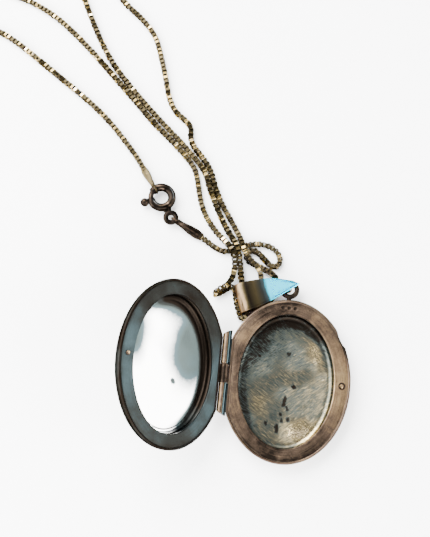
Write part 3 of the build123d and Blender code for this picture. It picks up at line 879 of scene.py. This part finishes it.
def make_chain(name, route, node, width, pitch, finish):
    """A run of box links in one mesh. Every other link is turned a quarter round the chain,
    and the whole chain twists slowly, as a slack chain does. Returns the run and its line."""
    line = route_line(name, route)
    run = np.concatenate([[0], np.cumsum(np.linalg.norm(np.diff(line, axis=0), axis=1))])
    count = int(run[-1] / pitch)
    number = np.arange(count)
    at = (number + 0.5) * run[-1] / count
    centres = np.stack([np.interp(at, run, line[:, k]) for k in range(3)], -1)
    way, side, rise = frames_along(centres, np.array((0, 0, 1.0)))
    odd = number % 2
    chance = np.sin(number * 12.9898 + len(route)) * 43758.5453 % 1
    sparkle = 7.13 * chance % 1
    turn = 0.14 * np.sin(at / (9 * MM)) + 0.4 * (chance - 0.5) + odd * math.pi / 2
    cos, sin = np.cos(turn)[:, None], np.sin(turn)[:, None]
    basis = np.stack([way, side * cos + rise * sin, rise * cos - side * sin], 1)
    link, faces = box_link(1.6 * pitch, 0.98 * width, 0.66 * width, 0.2 * width)
    points = centres[:, None] + link @ basis
    all_faces = (number[:, None, None] * len(link) + faces).reshape(-1, 4)
    mesh = bpy.data.meshes.new(name)
    mesh.from_pydata(points.reshape(-1, 3).tolist(), [], all_faces.tolist())
    face_outwards(mesh)
    piece = stand(name, mesh)
    by_bail = bell(np.linalg.norm(centres - centres[0], axis=1), 32 * MM)
    # Painted light: every other link, turned a quarter round, is a little brighter, and links with a high
    # sparkle draw are painted glints.
    shade = 0.29 + 0.06 * odd + 0.6 * sparkle**3 + 0.08 * np.sin(at / (11 * MM)) - 0.08 * by_bail
    shade = np.where(sparkle > 0.97, 0.82, shade)
    # Painted shade on the inner faces and at the ends of each link, between the links.
    inside = 0.35 * np.tile((0, 0, 1, 1), len(link) // 4) + 0.12 * (np.abs(link[:, 0]) > 0.6 * pitch)
    set_tone(piece, shade[:, None] - inside)
    finish_piece(piece, "bail", finish, (node,))
    return piece, line


# ---------------------------------------------------------------- bail

FOLD_START, FOLD_RADIUS, FOLD_Z = 1.5 * MM, 1.65 * MM, 1.9 * MM
LEAF_TIP, LEAF_LENGTH, LEAF_Z = 12.3 * MM, 12.5 * MM, 3.55 * MM
LEAF_CROWN = 0.03 * MM
CLOSE_AT, HOOK_RADIUS = 10.4 * MM, 0.3 * MM
TONGUE_HALF, TONGUE_SHIFT = 0.45 * MM, -0.48 * MM
BAIL_FOLD = np.array((-10.45 * MM, 15.4 * MM))
BAIL_TURN = math.radians(19.1)


def bail_path():
    """The middle of the bail's strip, seen from its side, as (distance from the fold, height):
    from the tip along the front leaf, half round the fold, and back to the ring."""
    s = np.linspace(LEAF_TIP, FOLD_START, 60)
    ease = (s - FOLD_START) / (LEAF_TIP - FOLD_START)
    leaf = np.stack([s, LEAF_Z - 0.36 * MM * ease + 0.03 * MM * np.sin(math.pi * ease)], -1)
    bend = arc(FOLD_START, FOLD_Z, FOLD_RADIUS, 90, 270, 40)[1:-1]
    s = np.linspace(FOLD_START, CLOSE_AT - 0.25 * MM, 36)
    climb = ((s - FOLD_START) / (CLOSE_AT - FOLD_START)) ** 1.15
    back = np.stack([s, 0.25 * MM + 1.05 * MM * climb], -1)
    hook = arc(CLOSE_AT - HOOK_RADIUS, 1.56 * MM, HOOK_RADIUS, -80, 0, 10)
    rise = np.array([(CLOSE_AT, height * MM) for height in (2.0, 2.5, 2.93)])
    return leaf, bend, np.concatenate([back, hook, rise])


def make_bail(finish):
    """The bail: a flat strip with rounded edges carried along its folded path. Its outline is
    a leaf: a share s of the way to the tip, the half width is 1 less the cube of s on the near
    edge, and the power 1.1 of 1 less the power 1.7 of s on the far edge, times the widest. It
    narrows to a tongue where it goes through the ring."""
    leaf, bend, rear = bail_path()
    path = np.concatenate([leaf, bend, rear])
    share = np.clip(path[:, 0] / LEAF_LENGTH, 0, 1)
    tongue = smooth_step(path[:, 0], 6.6 * MM, 8.2 * MM)
    tongue[: len(leaf) + len(bend)] = 0
    upper = 2.88 * MM * (1 - share**3.0) * (1 - tongue) + (TONGUE_SHIFT + TONGUE_HALF) * tongue
    lower = 2.93 * MM * (1 - share**1.7) ** 1.1 * (1 - tongue) - (TONGUE_SHIFT - TONGUE_HALF) * tongue
    middle, half = (upper - lower) / 2, np.maximum((upper + lower) / 2, 0.06 * MM)
    way = np.gradient(path, axis=0)
    way /= np.linalg.norm(way, axis=1, keepdims=True)
    outward = np.stack([way[:, 1], -way[:, 0]], -1)
    thick = np.minimum(bpy.context.scene.locket_sizes.bail_sheet / 2, half * 0.9)
    flat, no_turn = np.linspace(-1, 1, 15), np.zeros(15)
    corner = np.radians(np.linspace(90, -90, 7))[1:-1]
    base = np.concatenate([flat, np.ones(5), flat[::-1], -np.ones(5)])
    out_t = np.concatenate([no_turn, np.cos(corner), no_turn, -np.cos(corner)])
    out_n = np.concatenate([np.ones(15), np.sin(corner), -np.ones(15), -np.sin(corner)])
    across = middle[:, None] + base * (half - thick)[:, None] + out_t * thick[:, None]
    crown = np.zeros(len(path))
    crown[: len(leaf)] = LEAF_CROWN
    rise = out_n * thick[:, None] + crown[:, None] * (0.5 - base**2)
    along, height = (path[:, None, k] + rise * outward[:, None, k] for k in (0, 1))
    cos, sin = math.cos(BAIL_TURN), math.sin(BAIL_TURN)
    x = BAIL_FOLD[0] + along * cos - across * sin
    y = BAIL_FOLD[1] + along * sin + across * cos
    piece = closed_strip("bail_leaf", np.stack([x, y, height], -1))
    co = vertex_rows(piece.data)
    from_fold = ((co[:, 0] - BAIL_FOLD[0]) * cos + (co[:, 1] - BAIL_FOLD[1]) * sin) / LEAF_LENGTH
    # Painted shade: what lies below this height, the rear strip, the lower fold and the leaf's lower side
    # towards the tip, takes the darkest tone.
    outside = co[:, 2] > 3.1 * MM + 0.1 * MM * (from_fold < 0.5)
    # Above it the tone runs from the fold to the tip, and the ramp turns it into bands of tarnish film and
    # painted reflection.
    set_tone(piece, np.where(outside, from_fold, 0.02) + 0.015 * hand_wear(co, 2.5 * MM, 1.0))
    finish_piece(piece, "bail", finish, ("bail",))


# ---------------------------------------------------------------- clasp

CLASP_RADIUS = 2.15 * MM
# Radii of the painted highlights on the clasp.
GLINT_OUTSIDE, GLINT_INSIDE = 2.45 * MM, 1.85 * MM  # radii of the bright lines on the clasp
EYE_WAY, EYE_DISTANCE = direction(300), 4.7 * MM
EYE_RADIUS, EYE_WIRE = 1.04 * MM, 0.52 * MM
TAG_WIRE = 0.22 * MM
COIL_TURNS, COIL_RADIUS, COIL_WIRE = 26, 0.24 * MM, 0.055 * MM


def make_tag(name, hold, chain_end, loop_radius, narrow, widest, hollow):
    """An end tag: a wire loop, and a leaf from it to the chain that is widest near its end."""
    way = chain_end - hold
    length = np.linalg.norm(way)
    way = way / length
    across = np.cross((0, 0, 1), way)
    path = circle_path(hold, loop_radius, across, 40)
    loop = round_wire(name + "_loop", path, TAG_WIRE, 12, True, up=across)
    s = np.linspace(loop_radius * 0.75, length + 0.3 * MM, 48)
    share = np.linspace(0, 1, 48)
    swell = smooth_step(share, 0.1, 0.68) * (1 - 0.55 * smooth_step(share, 0.8, 1.0))
    wide = narrow + (widest - narrow) * swell
    high = 0.3 * MM + 0.06 * MM * smooth_step(share, 0.2, 0.7)
    leaf = lofted_strip(name + "_leaf", hold + way * s[:, None], wide, high, hollow)
    return joined(name, [loop, leaf])


def make_clasp_part(node, body, thicker, tone, finish):
    """A CAD part of the clasp made this much thicker, with two painted highlights on it."""
    piece = softened(node + "_soft", node, 0.04 * MM)
    inflate(piece, thicker)
    points = local_points(piece)
    # Painted highlights: a bright line on the outer right of the ring and one on its inner lower left.
    painted_glints = 0.7 * painted_highlight_arc(points, GLINT_OUTSIDE, 25, 45) + 0.6 * painted_highlight_arc(points, GLINT_INSIDE, 235, 50)
    set_tone(piece, tone + 0.15 * hand_wear(points, 1.1 * MM, 2.0) + painted_glints)
    finish_piece(piece, body, finish, (node,))


def make_eye(finish):
    """The clasp's eye and its neck, which tapers away from the ring."""
    path = circle_path(clasp_at + EYE_DISTANCE * EYE_WAY, EYE_RADIUS, (0, 0, 1), 48)
    eye = round_wire("eye_ring", path, EYE_WIRE, 18, True)
    s = np.linspace(2.6 * MM, 4.0 * MM, 12)
    taper = np.linspace(1, 0, 12)
    neck = lofted_strip(
        "eye_neck", clasp_at + EYE_WAY * s[:, None], 0.62 * MM + 0.4 * MM * taper**2,
        0.38 * MM + 0.1 * MM * taper,
    )
    whole = joined("clasp_eye_wire", [eye, neck])
    set_tone(whole, 0.4)
    finish_piece(whole, "bail", finish, ("clasp_eye",))


def make_tags(light, dark):
    """The end tag round the clasp's ring and the one through its eye."""
    hold = clasp_at + CLASP_RADIUS * direction(132)
    tag = make_tag("ring_tag", hold, np.array(TO_RING_ROUTE[-1]), 0.86 * MM, 0.46 * MM, 0.78 * MM, 0.1 * MM)
    points = local_points(tag)
    from_ring = smooth_step(np.linalg.norm(points - clasp_at, axis=1), 2 * MM, 6 * MM)
    set_tone(tag, 0.16 + 0.26 * from_ring + 0.15 * hand_wear(points, 0.3 * MM, 1.0))
    finish_piece(tag, "bail", light, ("end_tag_ring",))
    hold = clasp_at + EYE_DISTANCE * EYE_WAY + 0.98 * MM * np.array((0.888, -0.46, 0))
    tag = make_tag("eye_tag", hold, np.array(TO_EYE_ROUTE[-1]), 0.68 * MM, 0.62 * MM, 0.98 * MM, 0.14 * MM)
    set_tone(tag, 0.54 + 0.12 * hand_wear(local_points(tag), 0.35 * MM, 1.6))
    finish_piece(tag, "bail", dark, ("end_tag_eye",))


def make_coil(finish):
    """The coil spring inside the clasp's ring: a helix bent round the clasp."""
    steps = COIL_TURNS * 14
    along = np.radians(np.linspace(262, 328, steps))
    spin = np.linspace(0, COIL_TURNS * TAU, steps)
    radius, level = CLASP_RADIUS + COIL_RADIUS * np.cos(spin), COIL_RADIUS * np.sin(spin)
    path = clasp_at + np.stack([radius * np.cos(along), radius * np.sin(along), level], -1)
    coil = round_wire("clasp_coil", path, COIL_WIRE, 8, False, up=(0, 0.02, 1))
    set_tone(coil, 0.6)
    finish_piece(coil, "bail", finish, ("clasp_spring",))


# ---------------------------------------------------------------- operators


class LOCKET_OT_camera(bpy.types.Operator):
    """Stands the camera above the table, looking down at the open locket."""

    bl_idname = "locket.camera"
    bl_label = "Camera"

    def execute(self, context):
        tilt, turn, roll = math.radians(14.54), math.radians(-5.73), math.radians(5.58)
        target, distance = Vector((-15.8 * MM, 20.83 * MM, 3 * MM)), 198.1 * MM
        back = Vector((math.sin(turn) * math.sin(tilt), -math.cos(turn) * math.sin(tilt), math.cos(tilt)))
        up = (Vector((0, 1, 0)) - back * back.y).normalized()
        right = up.cross(back)
        turned_right = right * math.cos(roll) + up * math.sin(roll)
        turned_up = up * math.cos(roll) - right * math.sin(roll)
        lens = bpy.data.cameras.new("camera")
        lens.sensor_fit = "HORIZONTAL"
        lens.sensor_width = 36
        lens.lens = 83.72
        lens.clip_start = 0.001
        camera = stand("camera", lens)
        facing = Matrix((turned_right, turned_up, back)).transposed()
        camera.matrix_world = Matrix.Translation(target + back * distance) @ facing.to_4x4()
        context.scene.camera = camera
        return {"FINISHED"}


class LOCKET_OT_clasp(bpy.types.Operator):
    """Makes the spring ring clasp and the two end tags."""

    bl_idname = "locket.clasp"
    bl_label = "Clasp and end tags"

    def execute(self, context):
        dark, light = dark_finish(), chain_finish()
        make_clasp_part("clasp_ring", "bail", 0.22 * MM, 0.4, dark)
        make_clasp_part("clasp_bolt", "bolt", 0.16 * MM, 0.5, dark)
        make_clasp_part("clasp_thumb", "bolt", 0.26 * MM, 0.4, dark)
        make_eye(dark)
        make_tags(light, dark)
        make_coil(spring_finish())
        return {"FINISHED"}


class LOCKET_OT_chain(bpy.types.Operator):
    bl_idname = "locket.chain"
    bl_label = "Chain"

    def execute(self, context):
        s, finish = context.scene.locket_sizes, chain_finish()
        to_ring, line = make_chain(
            "box_chain_to_ring", TO_RING_ROUTE, "chain_to_ring", s.chain_width, s.link_pitch, finish
        )
        to_eye, line = make_chain(
            "box_chain_to_eye", TO_EYE_ROUTE, "chain_to_eye", s.chain_width, s.link_pitch, finish
        )
        return {"FINISHED"}


class LOCKET_OT_shells(bpy.types.Operator):
    """Makes the two outer shells."""

    bl_idname = "locket.shells"
    bl_label = "Outer shells"

    def execute(self, context):
        make_shell("back_outer", "back", True, 0.36, shell_finish())
        make_shell("lid_outer", "lid", False, 0.14, lid_shell_finish())
        return {"FINISHED"}


class LOCKET_OT_rims(bpy.types.Operator):
    """Makes the two flat rim frames."""

    bl_idname = "locket.rims"
    bl_label = "Rims"

    def execute(self, context):
        make_rim("back_frame", "back", True, back_rim_finish())
        make_rim("lid_frame", "lid", False, lid_rim_finish())
        return {"FINISHED"}


class LOCKET_OT_bowls(bpy.types.Operator):
    """Makes the two inner bowls."""

    bl_idname = "locket.bowls"
    bl_label = "Bowls"

    def execute(self, context):
        make_bowl(
            "back_inner", "back", dish=0.25 * MM,
            spots=BACK_SPOTS, patches=BACK_HIGHLIGHTS_AND_SHADE, shade=(-0.7, 0.7, 1.1), wall=0.03, base=0.41,
            least=0.13, finish=back_bowl_finish(),
        )
        make_bowl(
            "lid_inner", "lid", dish=0.3 * MM,
            spots=LID_SPOTS, patches=LID_REFLECTIONS_AND_TARNISH, shade=(-1.0, -0.3, 1.0), wall=0.0, base=1.03,
            least=-1.0, finish=lid_bowl_finish(),
        )
        return {"FINISHED"}


class LOCKET_OT_hinge(bpy.types.Operator):
    """Makes the knuckles, the pin, the catch nub and the ring at the top."""

    bl_idname = "locket.hinge"
    bl_label = "Hinge, catch and ring"

    def execute(self, context):
        finish = hinge_finish()
        for node, body, share in (
            ("hinge_knuckle_upper", "back", 1), ("hinge_knuckle_lower", "back", 1),
            ("hinge_knuckle_middle", "lid", 0.1), ("hinge_pin", "back", 1),
        ):
            piece = softened(node + "_soft", node, 0.05 * MM)
            side = local_points(piece)[:, 0] - hinge_at[0]
            # Painted highlight: a bright line along each barrel, left of its axis. The side towards the catch
            # is steel blue.
            base = 0.16 + 0.32 * bell(side + 0.45 * MM, 0.1 * MM)
            base += 0.68 * smooth_step(side, 0.05 * MM, 0.2 * MM)
            set_tone(piece, share * base)
            finish_piece(piece, body, finish, (node,))
        nub = softened("catch_nub_soft", "catch_nub", 0.05 * MM)
        points = local_points(nub)
        # Painted light: one side of the nub is painted lit and the other painted shade.
        lit = (points - points.mean(0))[:, :2].sum(1)
        set_tone(nub, 0.1 + 0.5 * smooth_step(lit, -0.2 * MM, 0.25 * MM))
        finish_piece(nub, "lid", finish, ("catch_nub",))
        finish = shell_finish()
        ring = round_wire("top_ring", circle_path(ring_at, 1.45 * MM, (0, 0, 1), 96), 0.5 * MM, 28, True)
        peg = softened("top_ring_peg", "bail_ring_peg", 0.04 * MM)
        for piece, node in ((ring, "bail_ring"), (peg, "bail_ring_peg")):
            set_tone(piece, 0)
            finish_piece(piece, "back", finish, (node,))
        return {"FINISHED"}


class LOCKET_OT_bail(bpy.types.Operator):
    """Makes the folded bail."""

    bl_idname = "locket.bail"
    bl_label = "Bail"

    def execute(self, context):
        make_bail(bail_finish())
        return {"FINISHED"}


# Rectangular lamps: name, place, what it faces, width, height and watts
LOCKET_MIDDLE = (-0.012, 0.01, 0.0)
LAMPS = (
    ("key", (-0.30, 0.28, 0.34), LOCKET_MIDDLE, 0.5, 0.5, 25.0),
    ("front", (0.02, -0.45, 0.30), LOCKET_MIDDLE, 0.5, 0.4, 13.0),
    ("left", (-0.45, -0.15, 0.22), LOCKET_MIDDLE, 0.4, 0.3, 11.0),
    ("right", (0.48, -0.12, 0.34), LOCKET_MIDDLE, 0.3, 0.3, 7.0),
    ("lid window", (0.455, 0.12, 0.117), (-0.024, 0, 0.010), 0.20, 0.13, 1.1),
    ("bail glint", (0.086, 0.17, 0.578), (-0.004, 0.017, 0.003), 0.08, 0.08, 0.21),
)
# Light from all round: brightness at heights on the sky, from the horizon up
SKY = (
    (0.0, (0.9, 0.9, 0.9)), (0.12, (0.85, 0.86, 0.88)),
    (0.45, (0.45, 0.46, 0.48)), (0.8, (0.22, 0.22, 0.23)),
)


class LOCKET_OT_stage(bpy.types.Operator):
    """Adds the pale floor, the soft boxes and the studio's own light."""

    bl_idname = "locket.stage"
    bl_label = "Stage"

    def execute(self, context):
        scene = context.scene
        half = 1.2
        floor_mesh = bpy.data.meshes.new("floor")
        floor_mesh.from_pydata(
            [(-half, -half, 0), (half, -half, 0), (half, half, 0), (-half, half, 0)], [], [(0, 1, 2, 3)]
        )
        floor = stand("floor", floor_mesh)
        paint = bpy.data.materials.new("floor")
        paint.use_nodes = True
        shader = paint.node_tree.nodes["Principled BSDF"]
        shader.inputs["Base Color"].default_value = (*scene.locket_colours.floor, 1)
        shader.inputs["Roughness"].default_value = 0.8
        floor_mesh.materials.append(paint)
        for name, place, at, wide, high, power in LAMPS:
            lamp = bpy.data.lights.new(name, "AREA")
            lamp.shape = "RECTANGLE"
            lamp.size, lamp.size_y = wide, high
            lamp.energy = power
            facing = (Vector(at) - Vector(place)).to_track_quat("-Z", "Y")
            stand(name, lamp).matrix_world = Matrix.Translation(place) @ facing.to_matrix().to_4x4()
        world = bpy.data.worlds.new("studio")
        world.use_nodes = True
        tree = world.node_tree
        place = add_node(tree, "ShaderNodeTexCoord", {}).outputs["Generated"]
        split = add_node(tree, "ShaderNodeSeparateXYZ", {0: place})
        height = spread(tree, split.outputs["Z"], 0, 1, -0.1, 1.0)
        tree.links.new(ramp(tree, height, SKY), tree.nodes["Background"].inputs["Color"])
        scene.world = world
        return {"FINISHED"}


class LOCKET_PT_panel(bpy.types.Panel):
    """Lists the locket's pieces in the order they are made."""

    bl_label = "Oval locket"
    bl_idname = "LOCKET_PT_panel"
    bl_space_type = "VIEW_3D"
    bl_region_type = "UI"
    bl_category = "Locket"

    def draw(self, context):
        for operator in OPERATORS:
            self.layout.operator(operator.bl_idname)
        for group in (context.scene.locket_sizes, context.scene.locket_colours):
            for name in group.bl_rna.properties.keys():
                if name not in ("rna_type", "name"):
                    self.layout.prop(group, name)


OPERATORS = (
    LOCKET_OT_camera, LOCKET_OT_clasp, LOCKET_OT_chain, LOCKET_OT_shells, LOCKET_OT_rims,
    LOCKET_OT_bowls, LOCKET_OT_hinge, LOCKET_OT_bail, LOCKET_OT_stage,
)
CLASSES = (LocketSizes, LocketColours, *OPERATORS, LOCKET_PT_panel)


def register():
    for item in CLASSES:
        bpy.utils.register_class(item)
    bpy.types.Scene.locket_sizes = bpy.props.PointerProperty(type=LocketSizes)
    bpy.types.Scene.locket_colours = bpy.props.PointerProperty(type=LocketColours)


def unregister():
    del bpy.types.Scene.locket_colours
    del bpy.types.Scene.locket_sizes
    for item in reversed(CLASSES):
        bpy.utils.unregister_class(item)


def main():
    """Makes every piece in order."""
    register()
    for operator in OPERATORS:
        group, name = operator.bl_idname.split(".")
        getattr(getattr(bpy.ops, group), name)()


if __name__ == "__main__":
    main()
